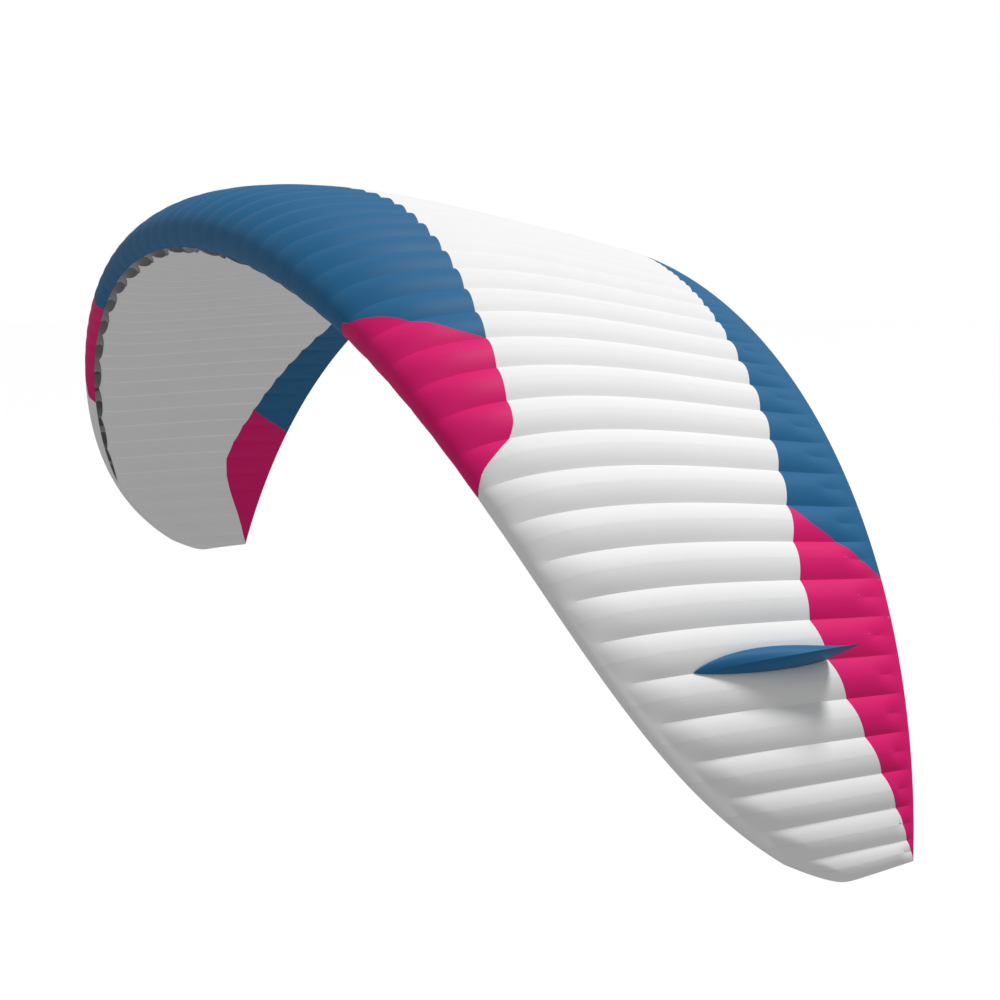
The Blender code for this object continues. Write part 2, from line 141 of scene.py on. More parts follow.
print("half span", round(float(arch_at(TIP_SEAM)[1]), 3), "m")

# %% [markdown]
# Every seam has its own chord, from the nose line to the trailing edge, and the same
# section drawn on that chord. The outward direction is found from two close points,
# which is simpler than the section's derivative and just as good.

# %% The planform and the section
NORMAL_STEP = 0.01  # to each of the two close points, in the root of the chord share


def chord_at(seam):
    """Nose and tail positions along Y."""
    share = np.abs(seam) / TIP_SEAM
    return power_sum(NOSE_SWEEP, share), ROOT_CHORD - power_sum(TAIL_SWEEP, share)


def chord_length(seam):
    nose, tail = chord_at(seam)
    return tail - nose


def section_height(share, thickness):
    """Height of the upper (share > 0) or lower (share < 0) side over the chord."""
    u = np.minimum(np.abs(share), 1.0)
    peak = NOSE_ROUNDNESS / (NOSE_ROUNDNESS + TAIL_SHARPNESS)
    most = peak**NOSE_ROUNDNESS * (1 - peak) ** TAIL_SHARPNESS
    half = thickness / 2 * u**NOSE_ROUNDNESS * (1 - u) ** TAIL_SHARPNESS / most
    camber = CAMBER * 4 * u * (1 - u) * (1 + CAMBER_FORWARD * (1 - 2 * u))
    return camber + np.copysign(half, share)


def section_point(seam, share):
    """(along the chord, across it) in metres, before the billow."""
    part = np.abs(seam) / TIP_SEAM
    thickness = THICKNESS * (1 - power_sum(THINNER_OUTWARD, part))
    chord = chord_length(seam)
    return np.abs(share) * chord, section_height(share, thickness) * chord


def section_normal(seam, share):
    """Outward direction in the section's plane."""
    root = np.copysign(np.sqrt(np.abs(share)), share)
    low, high = np.maximum(root - NORMAL_STEP, -1.0), np.minimum(root + NORMAL_STEP, 1.0)
    y0, z0 = section_point(seam, np.copysign(low**2, low))
    y1, z1 = section_point(seam, np.copysign(high**2, high))
    size = np.hypot(y1 - y0, z1 - z0)
    return -(z1 - z0) / size, (y1 - y0) / size


print("chord at the tip", round(float(chord_length(TIP_SEAM)), 3), "m")

# %% [markdown]
# Between two seams the cloth stands out in an arc. Near the tail, short extra ribs
# halve each cell, so the arc there becomes a pair of smaller ones. At the tip the last
# cell is cut short and rounded off towards its nose.

# %% The billow of the cells
def ease(value):
    """0 to 1 with soft ends."""
    t = np.clip(value, 0.0, 1.0)
    return t * t * (3 - 2 * t)


def cell_width(seam):
    cell = np.floor(np.abs(seam) + 0.5)
    width = arch_at(cell + 0.5)[0] - arch_at(np.maximum(cell - 0.5, 0))[0]
    return np.where(cell == 0, 2 * width, width)


def billow_at(seam, share):
    """How far the cloth stands out between two seams."""
    across = (np.abs(seam) + 0.5) % 1.0
    halved = (2 * across) % 1.0
    short_ribs = ease((np.abs(share) - HALF_RIB_START) / (HALF_RIB_FULL - HALF_RIB_START))
    whole, pair = 4 * across * (1 - across), 2 * halved * (1 - halved)
    arc = whole + short_ribs * (pair + WHOLE_ARC_LEFT * whole - whole)
    tail = np.sin(np.minimum(1.0, (1 - np.abs(share)) / FLAT_TAIL) * np.pi / 2)
    start = power_sum(BILLOW_START, np.abs(seam) / TIP_SEAM)
    nose = np.sin(np.clip((np.abs(share) - start) / BILLOW_ONSET, 0.0, 1.0) * np.pi / 2)
    size = np.where(np.asarray(share) > 0, UPPER_BILLOW, LOWER_BILLOW)
    return size * cell_width(seam) * arc * tail * nose


def sail_point(seam, share, offset):
    """A point of the sail, with the nose of the middle seam at zero."""
    push = offset + billow_at(seam, share)
    into_last_cell = np.maximum(0.0, np.abs(seam) - (TIP_SEAM - 1))
    rounding = np.maximum(0.0, 1 - np.abs(share) / ROUNDED_SHARE) ** ROUNDING_POWER
    rounding = rounding * TIP_ROUNDING
    seam = seam - np.copysign(into_last_cell * (TIP_SLANT * np.abs(share) + rounding), seam)
    _, x, z, lean = arch_at(seam)
    nose, _ = chord_at(seam)
    along, across = section_point(seam, share)
    out_along, out_across = section_normal(seam, share)
    across = across + push * out_across
    y = nose + along + push * out_along
    return np.stack([x + across * np.sin(lean), y, z + across * np.cos(lean)], axis=-1)


ORIGIN = sail_point(0.0, -HANG_SHARE, FACE)


def wing_point(seam, share, offset):
    return sail_point(seam, share, offset) - ORIGIN


print("nose of the middle cell at", np.round(wing_point(0.0, 0.0, FACE), 3))

# %% [markdown]
# ## Where the colours meet
# The colour borders are rows of (seam, chord share), joined by a curve that never
# overshoots. On the real wing a cutter follows such lines on every cell's gore.

# %% Panel borders
NOSE_BAND_REAR = (
    (0.0, 0.365), (4.5, 0.351), (8.5, 0.303), (12.5, 0.227), (15.5, 0.153),
    (16.17, 0.132), (16.5, 0.108), (16.83, 0.064), (17.17, 0.017), (17.5, -0.001),
    (18.17, -0.005), (18.5, -0.030),
)
NOSE_BAND_BORDER = (
    (11.33, 0.0005), (11.5, 0.002), (11.83, 0.021), (12.17, 0.051), (12.5, 0.085),
    (12.83, 0.113), (13.17, 0.143), (13.5, 0.204),
)
BORDER_DROP = (11.31, 11.33)
UPPER_TAIL_FRONT = (
    (5.5, 1.0), (7.5, 0.966), (9.5, 0.936), (12.5, 0.885), (15.5, 0.830),
    (18.5, 0.761), (20.5, 0.708), (21.5, 0.694), (22.5, 0.715), (23.5, 0.746),
    (25.5, 0.831), (27.5, 0.936), (28.5, 1.0),
)
UPPER_TAIL_BORDER = ((18.5, 0.761), (19.0, 0.799), (19.5, 0.878), (20.5, 1.0))
LOWER_TAIL_FRONT = (
    (5.5, 1.0), (9.5, 0.940), (13.5, 0.872), (17.5, 0.805), (19.5, 0.768),
    (21.5, 0.720), (22.5, 0.702), (23.5, 0.719), (24.5, 0.757), (26.5, 0.870),
    (28.5, 1.0),
)
LOWER_TAIL_BORDER = ((19.5, 0.768), (20.5, 0.918), (21.0, 1.0))
LIP_SETBACK = (
    (0.0, 0.041), (6.5, 0.049), (12.5, 0.059), (18.5, 0.057), (21.5, 0.046),
    (23.5, 0.028), (28.5, 0.010),
)
CUSP_SETBACK = (
    (1.5, 0.062), (5.5, 0.080), (11.5, 0.092), (17.5, 0.090), (21.5, 0.065),
    (23.5, 0.031),
)
INTAKE_DEPTH = (
    (1.5, 0.036), (5.5, 0.044), (8.5, 0.030), (10.5, 0.025), (16.5, 0.020),
    (20.5, 0.018), (23.5, 0.008),
)
INTAKE_SQUARENESS = 2.4
FIRST_LOAD_SEAM, LAST_LOAD_SEAM = 1.5, 23.5
CELLS_PER_INTAKE = 2
SEW_GAP = 0.0004  # left between the edges of two panels
POINT_WIDTH = 0.002  # a panel's pointed end is cut off at this width
print("blue and magenta meet on the nose at seam", NOSE_BAND_BORDER[0][0])

# %% [markdown]
# A border is drawn by a few points. Straight lines between them would show as corners
# and a spline can swing past them. This curve keeps its slopes between those of its
# neighbours, so it is smooth and never leaves the range of its points.

# %% A curve through the rows of a border
def smooth(rows, place):
    """A curve through the rows that never overshoots between them."""
    if place <= rows[0][0]:
        return rows[0][1]
    if place >= rows[-1][0]:
        return rows[-1][1]
    slopes = [(b[1] - a[1]) / (b[0] - a[0]) for a, b in zip(rows, rows[1:])]

    def tangent(i):
        if i == 0 or i == len(rows) - 1:
            return slopes[max(0, i - 1)]
        before, after = slopes[i - 1], slopes[i]
        if before * after <= 0:
            return 0.0
        return 2 * before * after / (before + after)

    i = max(k for k, row in enumerate(rows) if row[0] <= place)
    (x0, y0), (x1, y1) = rows[i], rows[i + 1]
    h = x1 - x0
    t = (place - x0) / h
    return (
        y0 * (1 + 2 * t) * (1 - t) ** 2
        + y1 * t * t * (3 - 2 * t)
        + tangent(i) * h * t * (1 - t) ** 2
        - tangent(i + 1) * h * t * t * (1 - t)
    )


print("the nose band reaches share", smooth(NOSE_BAND_REAR, 10.0), "at seam 10")

# %% [markdown]
# Air flows in just under the nose, between the lip of the nose band and the front
# edge of the lower sail. That edge is cut in crescents, one for each pair of cells, and
# held forward where a load rib comes down. A power of the way across gives the curve.

# %% The edges of the intakes
def lip(seam):
    return -smooth(LIP_SETBACK, abs(seam)) / chord_length(seam)


def intake_edge(seam):
    """Front edge of the lower sail: crescents between the load ribs."""
    place = abs(seam)
    if place >= LAST_LOAD_SEAM:
        return lip(seam) - SEW_GAP / chord_length(seam)
    half = CELLS_PER_INTAKE / 2
    if place <= FIRST_LOAD_SEAM:
        across = place / FIRST_LOAD_SEAM
    else:
        across = abs((place - FIRST_LOAD_SEAM) % CELLS_PER_INTAKE - half) / half
    depth = smooth(INTAKE_DEPTH, place) * (1 - across**INTAKE_SQUARENESS)
    return -(smooth(CUSP_SETBACK, place) + depth) / chord_length(seam)


mouth = (lip(0.0) - intake_edge(0.0)) * chord_length(0.0)
print("the middle intake is", round(float(mouth), 3), "m deep")

# %% [markdown]
# Each panel is one function that gives its front and rear edge at a seam. Neighbours
# call the same border, so they can't drift apart when a border is moved.

# %% Front and rear edge of every panel
def room(seam):
    """The least chord share that a panel's pointed end needs."""
    return (POINT_WIDTH + SEW_GAP) / chord_length(seam)


def border(rows, seam, front, rear):
    """A border between two colours, kept clear of the panel's other edges."""
    return min(max(smooth(rows, abs(seam)), front + room(seam)), rear - room(seam))


def tail_front(rows, seam):
    """Front edge of a tail band, or the trailing edge itself inboard of it."""
    if abs(seam) < rows[0][0]:
        return 1.0
    return min(smooth(rows, abs(seam)), 1.0 - room(seam))


def nose_rear(seam):
    return max(smooth(NOSE_BAND_REAR, abs(seam)), lip(seam) + room(seam))


def nose_border(seam):
    return border(NOSE_BAND_BORDER, seam, lip(seam), nose_rear(seam))


def upper_tail(seam):
    return tail_front(UPPER_TAIL_FRONT, seam)


def upper_border(seam):
    return border(UPPER_TAIL_BORDER, seam, upper_tail(seam), 1.0)


def lower_tail(seam):
    return tail_front(LOWER_TAIL_FRONT, seam)


def lower_border(seam):
    return border(LOWER_TAIL_BORDER, seam, lower_tail(seam), 1.0)


def blue_nose(seam):
    return lip(seam) if abs(seam) <= BORDER_DROP[0] else nose_border(seam), nose_rear(seam)


def magenta_nose(seam):
    beside_blue = abs(seam) <= NOSE_BAND_BORDER[-1][0]
    return lip(seam), nose_border(seam) if beside_blue else nose_rear(seam)


def white_top(seam):
    behind_band = abs(seam) <= NOSE_BAND_REAR[-1][0]
    return nose_rear(seam) if behind_band else lip(seam), upper_tail(seam)


def blue_upper_tail(seam):
    beside_magenta = abs(seam) >= UPPER_TAIL_BORDER[0][0]
    return upper_border(seam) if beside_magenta else upper_tail(seam), 1.0


def magenta_upper_tail(seam):
    beside_blue = abs(seam) <= UPPER_TAIL_BORDER[-1][0]
    return upper_tail(seam), upper_border(seam) if beside_blue else 1.0


def white_low(seam):
    return intake_edge(seam), -lower_tail(seam)


def blue_lower_tail(seam):
    beside_magenta = abs(seam) >= LOWER_TAIL_BORDER[0][0]
    return -lower_border(seam) if beside_magenta else -lower_tail(seam), -1.0


def magenta_lower_tail(seam):
    beside_blue = abs(seam) <= LOWER_TAIL_BORDER[-1][0]
    return -lower_tail(seam), -lower_border(seam) if beside_blue else -1.0


print("blue runs from share", blue_nose(0.0), "in the middle")

# %% [markdown]
# ## Shader maths as Python
# A material could be wired by hand, node by node. A small class that wraps a socket
# lets ordinary arithmetic add the Math nodes instead, so a finish reads as a formula.

# %% A wire that can be used in arithmetic
class Wire:
    """One output socket. Arithmetic on it adds Math nodes."""

    def __init__(self, finish, socket):
        self.finish, self.socket = finish, socket

    def math(self, operation, *values):
        sockets = dict(enumerate(values))
        made = self.finish.node("ShaderNodeMath", {"operation": operation}, sockets)
        return Wire(self.finish, made.outputs[0])

    def __add__(self, other):
        return self.math("ADD", self, other)

    def __sub__(self, other):
        return self.math("SUBTRACT", self, other)

    def __rsub__(self, other):
        return self.math("SUBTRACT", other, self)

    def __mul__(self, other):
        return self.math("MULTIPLY", self, other)

    def __truediv__(self, other):
        return self.math("DIVIDE", self, other)

    def __abs__(self):
        return self.math("ABSOLUTE", self)

    def __lt__(self, other):
        return self.math("LESS_THAN", self, other)

    def __or__(self, other):
        return self.math("MAXIMUM", self, other)

    def __and__(self, other):
        return self.math("MINIMUM", self, other)

    __radd__ = __add__
    __rmul__ = __mul__

    def part(self):
        """What is left after whole steps are taken away."""
        return self.math("FRACT", self)


print("numbers may stand on either side of a wire:", Wire.__rmul__ is Wire.__mul__)

# %% [markdown]
# A finish is one material with its nodes. Numbers flow through wires, while colours
# are blended by Mix nodes, since a Math node would turn them grey. One method adds
# every other kind of node, so that its settings are always set before its sockets.

# %% A finish: one material and its nodes
class Finish:
    def __init__(self, name):
        self.material = bpy.data.materials.new(name)
        self.material.use_nodes = True
        self.tree = self.material.node_tree
        self.shader = self.tree.nodes["Principled BSDF"]

    def node(self, kind, settings, sockets):
        """Adds a node: settings first, then the values or links of its sockets."""
        made = self.tree.nodes.new(kind)
        for key, value in settings.items():
            setattr(made, key, value)
        self.fill(made, sockets)
        return made

    def fill(self, node, sockets):
        for key, value in sockets.items():
            if isinstance(value, Wire):
                self.tree.links.new(value.socket, node.inputs[key])
            else:
                node.inputs[key].default_value = value

    def uv(self, layer):
        """The two numbers of a UV layer."""
        made = self.node("ShaderNodeUVMap", {"uv_map": layer}, {})
        vector = Wire(self, made.outputs["UV"])
        parts = self.node("ShaderNodeSeparateXYZ", {}, {"Vector": vector})
        return Wire(self, parts.outputs["X"]), Wire(self, parts.outputs["Y"])

    def place(self, x, y):
        made = self.node("ShaderNodeCombineXYZ", {}, {"X": x, "Y": y})
        return Wire(self, made.outputs["Vector"])

    def noise(self, vector, scale, detail=2.0):
        sockets = {"Vector": vector, "Scale": scale, "Detail": detail}
        made = self.node("ShaderNodeTexNoise", {}, sockets)
        return Wire(self, made.outputs["Fac"])

    def mix(self, factor, first, second):
        """A blend of two colours."""
        made = self.node("ShaderNodeMix", {"data_type": "RGBA"}, {0: factor, 6: first, 7: second})
        return Wire(self, made.outputs[2])

    def bump(self, height):
        """A normal from a height in metres."""
        sockets = {"Height": height, "Distance": 1.0, "Strength": 1.0}
        return Wire(self, self.node("ShaderNodeBump", {}, sockets).outputs["Normal"])


print("a finish starts with", len(Finish("trial").tree.nodes), "nodes")
bpy.data.materials.remove(bpy.data.materials["trial"])

# %% [markdown]
# ## Ripstop cloth
# Sail cloth is a coated ripstop: a fine plain weave with a stronger thread every few
# millimetres. Along each seam the edges are folded in and sewn with two rows of
# stitches, so the cloth is doubled there and gathers into small puckers. An image of
# cloth would have to be tiled and would blur close up; sizes in metres stay true.

# %% Sizes of the weave and of the sewing, in metres
RIPSTOP_PITCH = 0.005
RIPSTOP_LINE = 0.14  # share of the pitch that the strong thread takes
RIPSTOP_HEIGHT = 0.00003
USUAL_CELL = 0.19  # width of a usual cell
SEAM_HALF = 0.006  # half width of the doubled cloth at a seam
STITCH_ROW = 0.0035  # from the seam to a row of stitches
STITCH_PITCH = 0.0045
STITCH_SHARE = 0.65  # of the pitch
THREAD = 0.0006
PUCKER_REACH = 0.035
PUCKER_HEIGHT = 0.0011
PUCKER_RATE = (5.0, 24.0)  # for each metre, across the cells and along them
SLACK_HEIGHT = 0.0012  # slow unevenness of the blown-up cloth
SLACK_RATE = (3.0, 1.2)
SLACK_SCALE = 1.5
print("a strong thread every", RIPSTOP_PITCH, "m, a stitch every", STITCH_PITCH, "m")

# %% [markdown]
# The tones are shares of a panel's own colour, so that one function can dress blue,
# magenta and white cloth alike. The coating gives a broad, soft shine. It could be a
# separate coat layer, but a low specular level on the cloth itself looks the same.

# %% Tones and gloss
PALE, DEEP, WORN = 1.03, 0.95, 0.5  # tones of the cloth, how much they show
WORN_SCALE = 2.3
LINE_TONE, LINE_SHOWS = 0.85, 0.12  # of the strong threads
STITCH_TONE, STITCH_SHOWS = 0.70, 0.35
# The pale seams are partly painted light, which fades out over the last cells at each tip.
TIP_FADE = 8.0  # cells at each tip over which a pale seam fades out
ROUGHNESS = 0.54
UNEVEN_ROUGHNESS = 0.08
GLOSS = 0.12  # how much a coated thread shines, on the shader's own scale


def tone(colour, factor):
    return tuple(min(1.0, c * factor) for c in colour[:3]) + (1.0,)


print("mid grey at the deep tone", tone((0.5, 0.5, 0.5, 1.0), DEEP))

# %% [markdown]
# The finish reads two UV layers: "cloth" holds metres and "cells" holds the count of
# seams. What is left of that count after whole seams says how far the nearest seam is,
# so the doubled cloth, its stitches and its puckers follow every seam by themselves.
# They could be modelled as tapes and threads, but there would be millions of faces.

# %% One finish for every colour
def seam_mask(cloth, seam_count, seam_half):
    """How far the nearest seam is, and a mask of the doubled cloth along it, faded out at the
    tips, where the painted light on the seams fades.
    """
    from_seam = (0.5 - abs(seam_count.part() - 0.5)) * USUAL_CELL
    near_seam = (2.0 - from_seam * (2.0 / seam_half)) & 1.0 | 0.0
    from_tip = TIP_SEAM - abs(seam_count - TIP_SEAM - 0.5)
    return from_seam, near_seam * (from_tip * (1 / TIP_FADE) & 1.0)


def ripstop(name, colour, seam_tint_and_light, seam_half=SEAM_HALF, slack_height=SLACK_HEIGHT):
    """A coated ripstop cloth. The tint after the colour says how much paler a seam is painted:
    partly the doubled cloth, partly painted light.
    """
    cloth = Finish(name)
    across, along = cloth.uv("cloth")
    seam_count, _ = cloth.uv("cells")
    from_seam, near_seam = seam_mask(cloth, seam_count, seam_half)
    in_row = abs(from_seam - STITCH_ROW) < THREAD
    stitches = in_row * ((along / STITCH_PITCH).part() < STITCH_SHARE)
    strong = ((across / RIPSTOP_PITCH).part() < RIPSTOP_LINE) | (
        (along / RIPSTOP_PITCH).part() < RIPSTOP_LINE
    )
    puckers = cloth.noise(cloth.place(across * PUCKER_RATE[0], along * PUCKER_RATE[1]), 1.0)
    slack_place = cloth.place(across * SLACK_RATE[0], along * SLACK_RATE[1])
    slack = cloth.noise(slack_place, SLACK_SCALE)
    fade = 1.0 - (from_seam / PUCKER_REACH & 1.0)
    height = (
        strong * RIPSTOP_HEIGHT
        + puckers * fade * fade * PUCKER_HEIGHT
        + slack * slack_height
        - stitches * (THREAD / 2)
    )
    worn = cloth.noise(cloth.place(across, along), WORN_SCALE, 4.0)
    base = cloth.mix(worn * WORN, tone(colour, PALE), tone(colour, DEEP))
    # Pale seams: partly the doubled cloth, partly a painted highlight along each seam.
    base = cloth.mix(near_seam, base, tone(colour, seam_tint_and_light))
    base = cloth.mix(strong * LINE_SHOWS, base, tone(colour, LINE_TONE))
    base = cloth.mix(stitches * STITCH_SHOWS, base, tone(colour, STITCH_TONE))
    roughness = worn * UNEVEN_ROUGHNESS + (ROUGHNESS - UNEVEN_ROUGHNESS / 2)
    sockets = {"Base Color": base, "Roughness": roughness, "Normal": cloth.bump(height)}
    cloth.fill(cloth.shader, sockets)
    cloth.fill(cloth.shader, {"Specular IOR Level": GLOSS})
    return cloth.material


print("pale seams fade out over", TIP_FADE, "cells at each tip")

# %% [markdown]
# The wing has three colours. The seams of the lower sail are painted paler and wider
# than those above, the doubled cloth with a painted highlight over it, so that sail gets
# a white cloth of its own with less slack in it. The colours could be sampled from a
# picture, but a cloth's own colour is what is left when the light on it is taken away,
# so they were settled by comparing renders.

# %% The colours of the wing
BLUE = (0.018, 0.131, 0.288, 1.0)
MAGENTA = (0.720, 0.009, 0.158, 1.0)
WHITE = (0.850, 0.850, 0.850, 1.0)
LOW_SEAM_HALF = 0.009
LOW_SLACK = 0.0003
blue_cloth = ripstop("blue ripstop", BLUE, 1.08)
magenta_cloth = ripstop("magenta ripstop", MAGENTA, 1.05)
white_cloth = ripstop("white ripstop", WHITE, 1.03)
# The lower sail's seams are painted paler and wider: doubled cloth plus a painted highlight.
white_low_cloth = ripstop("white ripstop, lower sail", WHITE, 1.16, LOW_SEAM_HALF, LOW_SLACK)
print("cloths:", blue_cloth.name, magenta_cloth.name, white_cloth.name, white_low_cloth.name)

# %% [markdown]
# The inner face of the cloth is uncoated and duller, and it is painted a dark grey that
# stands for the shade inside the cells. Sail cloth is so thin that some daylight soaks
# through it, so the inside of a cell is never black. A little constant emission stands
# for that light, because real translucency in a sheet this thin is slow to render and
# easily gets lost in an export. The ribs are cut from plain grey cloth, the load ribs
# from a darker grey, and the ribs between glow twice as much, a painted light.

# %% The inner face and the ribs
LIT_THROUGH = 0.045
# The inner face is painted a dark grey that stands for the shade inside the cells.
INNER_FACE_SHADE = (0.31, 0.295, 0.32, 1.0)
RIB_CLOTH = (0.62, 0.61, 0.63, 1.0)
LOAD_RIB_CLOTH = (0.50, 0.49, 0.51, 1.0)
INNER_ROUGHNESS = 0.8
INNER_PALE, INNER_DEEP, INNER_WORN = 1.08, 0.86, 0.6
INNER_WORN_SCALE = 5.0


def inside(name, colour, glow):
    cloth = Finish(name)
    across, along = cloth.uv("cloth")
    worn = cloth.noise(cloth.place(across, along), INNER_WORN_SCALE, 3.0)
    base = cloth.mix(worn * INNER_WORN, tone(colour, INNER_PALE), tone(colour, INNER_DEEP))
    cloth.fill(cloth.shader, {"Base Color": base, "Roughness": INNER_ROUGHNESS})
    cloth.fill(cloth.shader, {"Emission Color": colour, "Emission Strength": glow})
    return cloth.material


inner_cloth = inside("inner face of the cloth", INNER_FACE_SHADE, LIT_THROUGH)
# The ribs between glow twice as much: a painted light that shows them lit.
rib_cloth = inside("rib cloth", RIB_CLOTH, LIT_THROUGH * 2)
load_rib_cloth = inside("load rib cloth", LOAD_RIB_CLOTH, LIT_THROUGH)
print("inner cloths:", inner_cloth.name, rib_cloth.name, load_rib_cloth.name)

# %% [markdown]
# ## Sheets
# A sheet is two grids of points between the same edges, one for each face of the
# cloth, closed by a narrow rim. Solidify could add the second face, but it would
# round the shading at the rim, and a cut edge is crisp. Rows lie closer together
# round the nose, where the section turns fastest. Each cell gets its own strips, so
# the crease at a seam stays sharp and the cell between stays smooth.

# %% Grids
STRIPS = 12  # across one cell
CLOSING = 0.02  # chord share at the tail over which the two faces close up


def spread(front, rear, count):
    """Chord shares from front to rear, closer together round the nose."""
    a, b = (math.copysign(math.sqrt(abs(x)), x) for x in (front, rear))
    roots = np.linspace(a, b, count + 1)
    return np.copysign(roots**2, roots)


def panel_rows(outline, seam, count, under):
    """Chord shares of one station, drawn in a little at the sewn edges.

    The first rows, as many as under says, are kept for the cloth below the nose.
    """
    front, rear = outline(seam)
    chord = chord_length(seam)
    way = 1.0 if rear >= front else -1.0
    trim = SEW_GAP / 2 / chord
    if abs(front) < 1.0:
        front += way * trim
    if abs(rear) < 1.0:
        rear -= way * trim
    least = POINT_WIDTH / chord
    if (rear - front) * way < least:
        if abs(rear) >= 1.0:
            front = rear - way * least
        else:
            rear = front + way * least
    if not under:
        return spread(front, rear, count)
    fold = max(0.0, front + least / 4)
    return np.concatenate([spread(front, fold, under)[:-1], spread(fold, rear, count - under)])


def stations(first, last, extra=()):
    count = round((last - first) * STRIPS)
    return sorted([first + k / STRIPS for k in range(count + 1)] + list(extra))


def face_offset(share):
    """The two faces of the sail close up at the trailing edge."""
    closing = ease((np.abs(share) - (1 - CLOSING)) / CLOSING)
    return FACE + (TAIL_FACE - FACE) * closing


print("a cell has", STRIPS, "strips of about", round(USUAL_CELL / STRIPS, 3), "m")

# %% [markdown]
# Numpy gives the points of a grid; these helpers join them into faces. A sheet that is
# closed, with a second face and a rim, is a solid that exports cleanly and that shows a
# real edge. Faces could be added one by one in bmesh, which is slower for grids.

# %% Faces of a grid
def grid_faces(columns, rows):
    corner = np.arange(columns * rows).reshape(columns, rows)
    a, b, c, d = corner[:-1, :-1], corner[1:, :-1], corner[1:, 1:], corner[:-1, 1:]
    return np.stack([a, b, c, d], axis=-1).reshape(-1, 4)


def closed_faces(columns, rows):
    """Faces of a closed sheet: outer grid, inner grid turned over, then the rim."""
    outer, count = grid_faces(columns, rows), columns * rows
    corner = np.arange(count).reshape(columns, rows)
    sides = (corner[:, 0], corner[-1, 1:], corner[-2::-1, -1], corner[0, -2:0:-1])
    ring = np.concatenate(sides)
    after = np.roll(ring, -1)
    rim = np.stack([after, ring, ring + count, after + count], axis=-1)
    return np.concatenate([outer, outer[:, ::-1] + count, rim])


print("a closed sheet of 3 by 3 points has", len(closed_faces(3, 3)), "faces")

# %% [markdown]
# Every piece is made by the same function, which also stores the two UV layers. They
# say where a point lies on the cloth before sewing, in metres and in seams. A procedural
# weave needs that: in plain space its threads would slide off along the curved sail.

# %% Meshes with UV layers
CREASE = 13.0  # degrees: a sharper fold is shaded as a crease


def make_mesh(name, points, faces, layers, materials):
    """layers: name of a UV layer to one pair of numbers for each point."""
    mesh = bpy.data.meshes.new(name)
    corners = [tuple(map(float, point)) for point in points]
    mesh.from_pydata(corners, [], [tuple(map(int, face)) for face in faces])
    point_of = np.empty(len(mesh.loops), dtype=np.int32)
    mesh.loops.foreach_get("vertex_index", point_of)
    for layer, pairs in layers.items():
        uv = mesh.uv_layers.new(name=layer)
        uv.data.foreach_set("uv", np.asarray(pairs, dtype=np.float32)[point_of].ravel())
    for material in materials:
        mesh.materials.append(material)
    mesh.shade_smooth()
    mesh.set_sharp_from_angle(angle=math.radians(CREASE))
    piece = bpy.data.objects.new(name, mesh)
    bpy.context.scene.collection.objects.link(piece)
    return piece


print("folds sharper than", CREASE, "degrees are creases")

# %% [markdown]
# A maker cuts a sheet flat before sewing it, so each sheet also states its flat size.
# It is measured here on the grid itself: the area of all its faces, and its longest run
# each way. The mesh could be unwrapped instead, but a grid is measured in three lines.

# %% Flat size of a sheet
def grid_area(points):
    """Area of a grid of points, in square metres."""
    down, side = points[:-1, 1:] - points[:-1, :-1], points[1:, :-1] - points[:-1, :-1]
    first = np.linalg.norm(np.cross(down, side), axis=-1)
    down, side = points[1:, :-1] - points[1:, 1:], points[:-1, 1:] - points[1:, 1:]
    return float((first + np.linalg.norm(np.cross(down, side), axis=-1)).sum() / 2)


def longest_ways(points):
    """Longest run of a grid each way: the flat size of a cut before sewing."""
    runs = (np.linalg.norm(np.diff(points, axis=a), axis=-1).sum(axis=a).max() for a in (0, 1))
    return tuple(float(run) for run in runs)


square = np.array([[(x, y, 0.0) for y in (0.0, 1.0)] for x in (0.0, 2.0)])
print("a trial sheet of 2 by 1 m measures", longest_ways(square), "m,", grid_area(square), "m2")

# %% [markdown]
# One function makes every panel of the sail: its outer face on the section line plus the
# billow, and its inner face one cloth's thickness below. Only the edges differ from
# panel to panel. A single mesh with painted colours would be simpler, but real panels
# are separate cuts of cloth that are sewn together.

# %% One panel of the sail
def panel(name, outline, seams, count, material, nodes=(), under=0):
    """A thin sheet that stands for its CAD nodes."""
    shares = np.array([panel_rows(outline, seam, count, under) for seam in seams])
    column = np.array(seams)[:, None]
    face = face_offset(shares)
    points = wing_point(column, shares, face)
    inner = wing_point(column, shares, face - np.minimum(CLOTH, face - TAIL_FACE / 2))
    length = np.copysign(arch_at(column)[0], column) * np.ones_like(shares)
    cloth_uv = np.stack([length, shares * chord_length(column)], axis=-1).reshape(-1, 2)
    cell_uv = np.stack([column + 0.5 + TIP_SEAM * np.ones_like(shares), shares], axis=-1)
    cell_uv = cell_uv.reshape(-1, 2)
    faces = closed_faces(*shares.shape)
    if shares.mean() < 0:
        faces = faces[:, ::-1]
    piece = make_mesh(
        "cloth_" + name,
        np.concatenate([points.reshape(-1, 3), inner.reshape(-1, 3)]),
        faces,
        {"cloth": np.tile(cloth_uv, (2, 1)), "cells": np.tile(cell_uv, (2, 1))},
        [material, inner_cloth],
    )
    side_faces = (shares.shape[0] - 1) * (shares.shape[1] - 1)
    slots = np.zeros(len(faces), dtype=np.int32)
    slots[side_faces:2 * side_faces] = 1
    piece.data.polygons.foreach_set("material_index", slots)
    area = grid_area(points)
    flat = longest_ways(points)
    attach(piece, "root")
    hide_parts(*(nodes or [name]))
    print(f"{piece.name}: {flat[0]:.2f} x {flat[1]:.2f} m, {area:.2f} m2, {len(faces)} faces")


